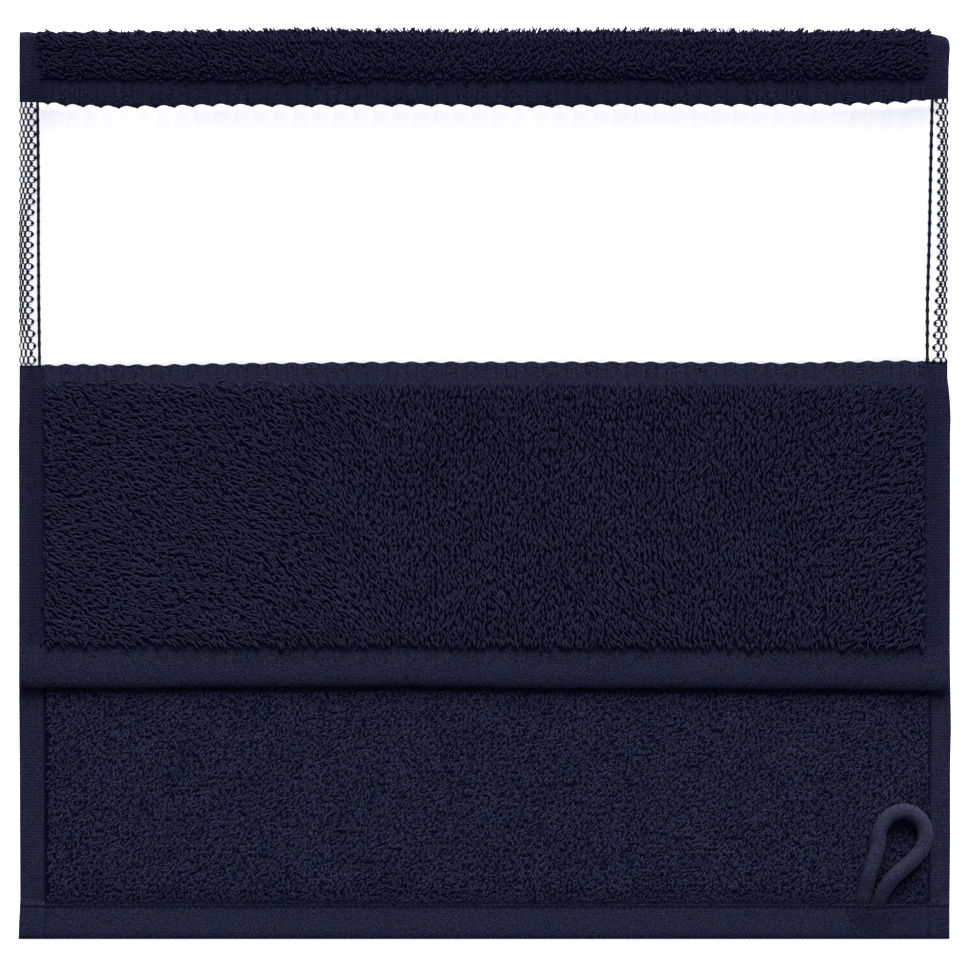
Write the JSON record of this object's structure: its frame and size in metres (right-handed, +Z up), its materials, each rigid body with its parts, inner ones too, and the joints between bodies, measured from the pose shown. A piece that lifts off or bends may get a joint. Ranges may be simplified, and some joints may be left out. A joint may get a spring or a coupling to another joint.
{
  "type": "folded terry hand towel",
  "caption": "Terry hand towel folded once and laid flat, with a white flat-woven border, stitched hems and a round cord hanging loop under the back hem.",
  "frame": {"origin": "middle of the towel's outline, on the surface it lies on", "axes": "+X across the cloth, towards the loop's side; +Y from the hems to the fold; +Z up, away from the surface it lies on"},
  "size_m": [0.301, 0.293, 0.0091],
  "materials": {
    "navy_terry": "looped cotton pile",
    "navy_cord": "soft knitted cotton cord",
    "white_border": "smooth flat weave"
  },
  "bodies": {
    "root": {"towel": "navy_terry", "hanging_loop": "navy_cord"}
  },
  "joints": []
}
